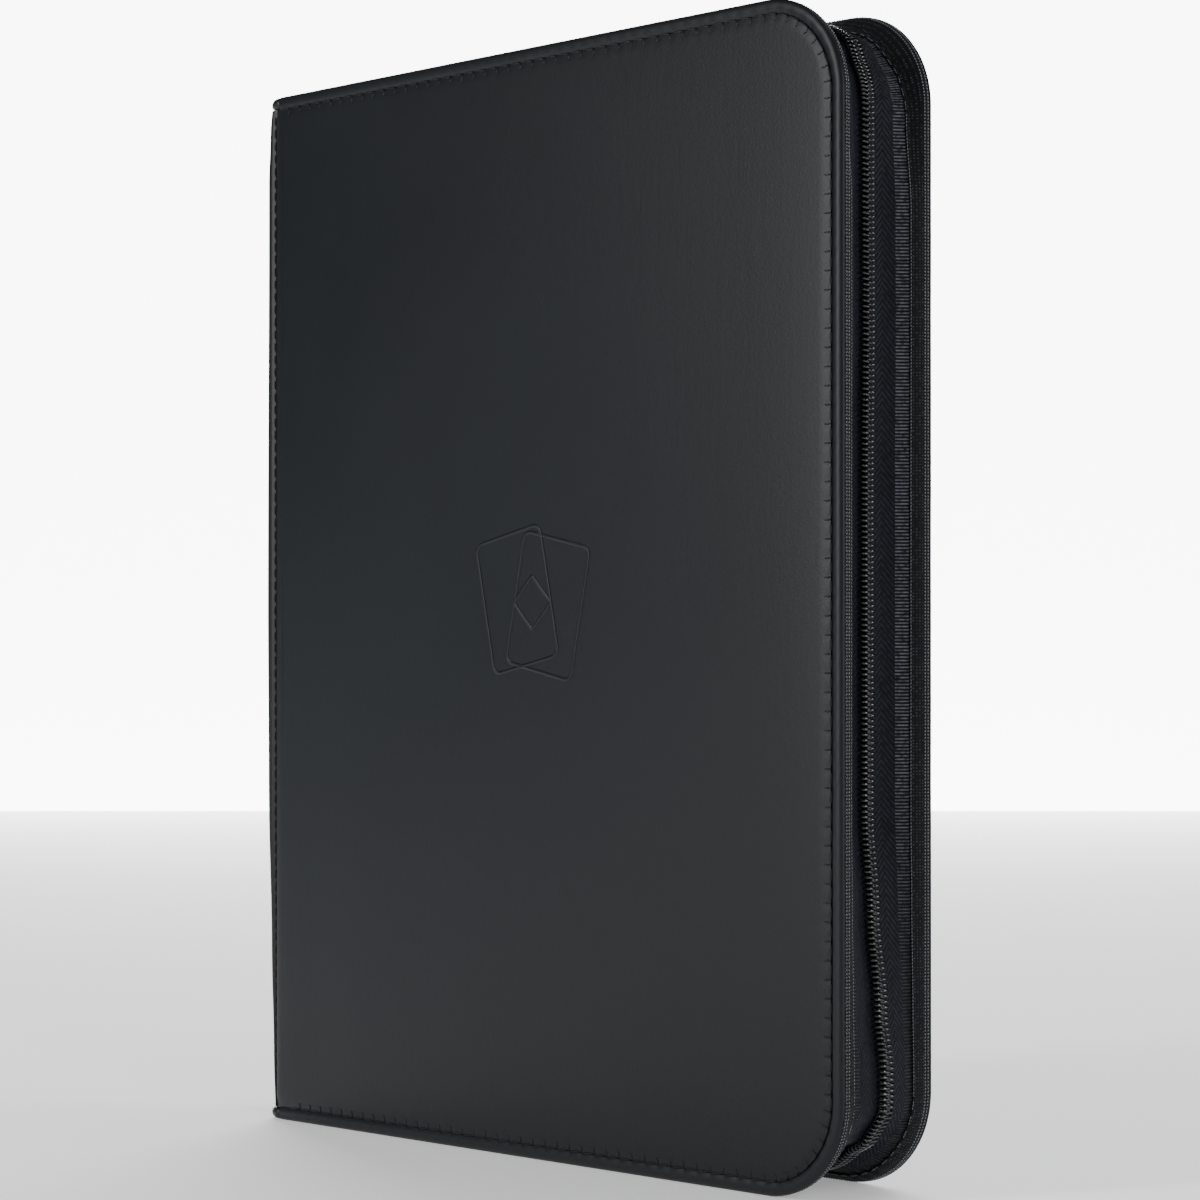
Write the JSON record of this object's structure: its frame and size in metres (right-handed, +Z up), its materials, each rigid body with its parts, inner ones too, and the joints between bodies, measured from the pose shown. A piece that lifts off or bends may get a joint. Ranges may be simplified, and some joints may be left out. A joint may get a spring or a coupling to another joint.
{
  "type": "trading card binder",
  "caption": "Zip-around padded leather-look binder for trading cards, with side-loading pocket pages fixed to its spine.",
  "frame": {"origin": "centre of the footprint, on the surface the binder stands on", "axes": "+Z up along the spine, +X from the spine to the fore edge, -Y out of the front cover"},
  "size_m": [0.265, 0.04, 0.35],
  "materials": {
    "pu_leather": "satin fine grain",
    "foam": "soft foam",
    "greyboard": "pressed paper board",
    "lining_cloth": "plain weave",
    "thread": "twisted thread",
    "woven_band": "herringbone weave",
    "zip_tape": "twill tape",
    "zip_coil": "nylon coil",
    "zip_metal": "black plated zinc",
    "page_film": "polypropylene film"
  },
  "bodies": {
    "spine": {"spine_leather": "pu_leather", "spine_board": "greyboard", "spine_lining": "lining_cloth", "spine_stitching": "thread", "page_binding": "page_film", "top_end_tab": "woven_band", "bottom_end_tab": "woven_band", "top_zip_stop": "zip_metal", "bottom_zip_stop": "zip_metal"},
    "front_cover": {"front_leather": "pu_leather", "front_foam": "foam", "front_board": "greyboard", "front_lining": "lining_cloth", "front_stitching": "thread", "front_gusset": "woven_band", "front_zip_tape": "zip_tape", "front_zip_coil": "zip_coil"},
    "back_cover": {"back_leather": "pu_leather", "back_foam": "foam", "back_board": "greyboard", "back_lining": "lining_cloth", "back_stitching": "thread", "back_gusset": "woven_band", "back_zip_tape": "zip_tape", "back_zip_coil": "zip_coil"},
    "zip_slider": {"slider_body": "zip_metal"},
    "zip_pull": {"slider_pull": "zip_metal"},
    "page_01": {"page_01": "page_film"},
    "page_02": {"page_02": "page_film"},
    "page_03": {"page_03": "page_film"},
    "page_04": {"page_04": "page_film"},
    "page_05": {"page_05": "page_film"},
    "page_06": {"page_06": "page_film"},
    "page_07": {"page_07": "page_film"},
    "page_08": {"page_08": "page_film"},
    "page_09": {"page_09": "page_film"},
    "page_10": {"page_10": "page_film"},
    "page_11": {"page_11": "page_film"},
    "page_12": {"page_12": "page_film"},
    "page_13": {"page_13": "page_film"},
    "page_14": {"page_14": "page_film"},
    "page_15": {"page_15": "page_film"},
    "page_16": {"page_16": "page_film"},
    "page_17": {"page_17": "page_film"},
    "page_18": {"page_18": "page_film"},
    "page_19": {"page_19": "page_film"},
    "page_20": {"page_20": "page_film"}
  },
  "joints": [
    {"name": "front_cover_hinge", "type": "hinge", "parent": "spine", "child": "front_cover", "pos_m": [-0.1235, -0.02, 0], "axis": [0, 0, -1], "range_deg": [0, 90]},
    {"name": "back_cover_hinge", "type": "hinge", "parent": "spine", "child": "back_cover", "pos_m": [-0.1235, 0.02, 0], "axis": [0, 0, 1], "range_deg": [0, 90]},
    {"name": "slider_travel", "type": "slide", "parent": "back_cover", "child": "zip_slider", "axis": [1, 0, 0], "range_m": [0, 0.19]},
    {"name": "pull_hinge", "type": "hinge", "parent": "zip_slider", "child": "zip_pull", "pos_m": [-0.111, 0, 0.3469], "axis": [0, -1, 0], "range_deg": [0, 150]},
    {"name": "page_01_turn", "type": "hinge", "parent": "spine", "child": "page_01", "pos_m": [-0.118, -0.01425, 0], "axis": [0, 0, -1], "range_deg": [0, 90]},
    {"name": "page_02_turn", "type": "hinge", "parent": "spine", "child": "page_02", "pos_m": [-0.118, -0.01275, 0], "axis": [0, 0, -1], "range_deg": [0, 90]},
    {"name": "page_03_turn", "type": "hinge", "parent": "spine", "child": "page_03", "pos_m": [-0.118, -0.01125, 0], "axis": [0, 0, -1], "range_deg": [0, 90]},
    {"name": "page_04_turn", "type": "hinge", "parent": "spine", "child": "page_04", "pos_m": [-0.118, -0.00975, 0], "axis": [0, 0, -1], "range_deg": [0, 90]},
    {"name": "page_05_turn", "type": "hinge", "parent": "spine", "child": "page_05", "pos_m": [-0.118, -0.00825, 0], "axis": [0, 0, -1], "range_deg": [0, 90]},
    {"name": "page_06_turn", "type": "hinge", "parent": "spine", "child": "page_06", "pos_m": [-0.118, -0.00675, 0], "axis": [0, 0, -1], "range_deg": [0, 90]},
    {"name": "page_07_turn", "type": "hinge", "parent": "spine", "child": "page_07", "pos_m": [-0.118, -0.00525, 0], "axis": [0, 0, -1], "range_deg": [0, 90]},
    {"name": "page_08_turn", "type": "hinge", "parent": "spine", "child": "page_08", "pos_m": [-0.118, -0.00375, 0], "axis": [0, 0, -1], "range_deg": [0, 90]},
    {"name": "page_09_turn", "type": "hinge", "parent": "spine", "child": "page_09", "pos_m": [-0.118, -0.00225, 0], "axis": [0, 0, -1], "range_deg": [0, 90]},
    {"name": "page_10_turn", "type": "hinge", "parent": "spine", "child": "page_10", "pos_m": [-0.118, -0.00075, 0], "axis": [0, 0, -1], "range_deg": [0, 90]},
    {"name": "page_11_turn", "type": "hinge", "parent": "spine", "child": "page_11", "pos_m": [-0.118, 0.00075, 0], "axis": [0, 0, 1], "range_deg": [0, 90]},
    {"name": "page_12_turn", "type": "hinge", "parent": "spine", "child": "page_12", "pos_m": [-0.118, 0.00225, 0], "axis": [0, 0, 1], "range_deg": [0, 90]},
    {"name": "page_13_turn", "type": "hinge", "parent": "spine", "child": "page_13", "pos_m": [-0.118, 0.00375, 0], "axis": [0, 0, 1], "range_deg": [0, 90]},
    {"name": "page_14_turn", "type": "hinge", "parent": "spine", "child": "page_14", "pos_m": [-0.118, 0.00525, 0], "axis": [0, 0, 1], "range_deg": [0, 90]},
    {"name": "page_15_turn", "type": "hinge", "parent": "spine", "child": "page_15", "pos_m": [-0.118, 0.00675, 0], "axis": [0, 0, 1], "range_deg": [0, 90]},
    {"name": "page_16_turn", "type": "hinge", "parent": "spine", "child": "page_16", "pos_m": [-0.118, 0.00825, 0], "axis": [0, 0, 1], "range_deg": [0, 90]},
    {"name": "page_17_turn", "type": "hinge", "parent": "spine", "child": "page_17", "pos_m": [-0.118, 0.00975, 0], "axis": [0, 0, 1], "range_deg": [0, 90]},
    {"name": "page_18_turn", "type": "hinge", "parent": "spine", "child": "page_18", "pos_m": [-0.118, 0.01125, 0], "axis": [0, 0, 1], "range_deg": [0, 90]},
    {"name": "page_19_turn", "type": "hinge", "parent": "spine", "child": "page_19", "pos_m": [-0.118, 0.01275, 0], "axis": [0, 0, 1], "range_deg": [0, 90]},
    {"name": "page_20_turn", "type": "hinge", "parent": "spine", "child": "page_20", "pos_m": [-0.118, 0.01425, 0], "axis": [0, 0, 1], "range_deg": [0, 90]}
  ],
  "couplings": [
    {"joint": "page_01_turn", "follows": "front_cover_hinge", "ratio": 0.95},
    {"joint": "page_02_turn", "follows": "front_cover_hinge", "ratio": 0.85},
    {"joint": "page_03_turn", "follows": "front_cover_hinge", "ratio": 0.75},
    {"joint": "page_04_turn", "follows": "front_cover_hinge", "ratio": 0.65},
    {"joint": "page_05_turn", "follows": "front_cover_hinge", "ratio": 0.55},
    {"joint": "page_06_turn", "follows": "front_cover_hinge", "ratio": 0.45},
    {"joint": "page_07_turn", "follows": "front_cover_hinge", "ratio": 0.35},
    {"joint": "page_08_turn", "follows": "front_cover_hinge", "ratio": 0.25},
    {"joint": "page_09_turn", "follows": "front_cover_hinge", "ratio": 0.15},
    {"joint": "page_10_turn", "follows": "front_cover_hinge", "ratio": 0.05},
    {"joint": "page_11_turn", "follows": "back_cover_hinge", "ratio": 0.05},
    {"joint": "page_12_turn", "follows": "back_cover_hinge", "ratio": 0.15},
    {"joint": "page_13_turn", "follows": "back_cover_hinge", "ratio": 0.25},
    {"joint": "page_14_turn", "follows": "back_cover_hinge", "ratio": 0.35},
    {"joint": "page_15_turn", "follows": "back_cover_hinge", "ratio": 0.45},
    {"joint": "page_16_turn", "follows": "back_cover_hinge", "ratio": 0.55},
    {"joint": "page_17_turn", "follows": "back_cover_hinge", "ratio": 0.65},
    {"joint": "page_18_turn", "follows": "back_cover_hinge", "ratio": 0.75},
    {"joint": "page_19_turn", "follows": "back_cover_hinge", "ratio": 0.85},
    {"joint": "page_20_turn", "follows": "back_cover_hinge", "ratio": 0.95}
  ]
}
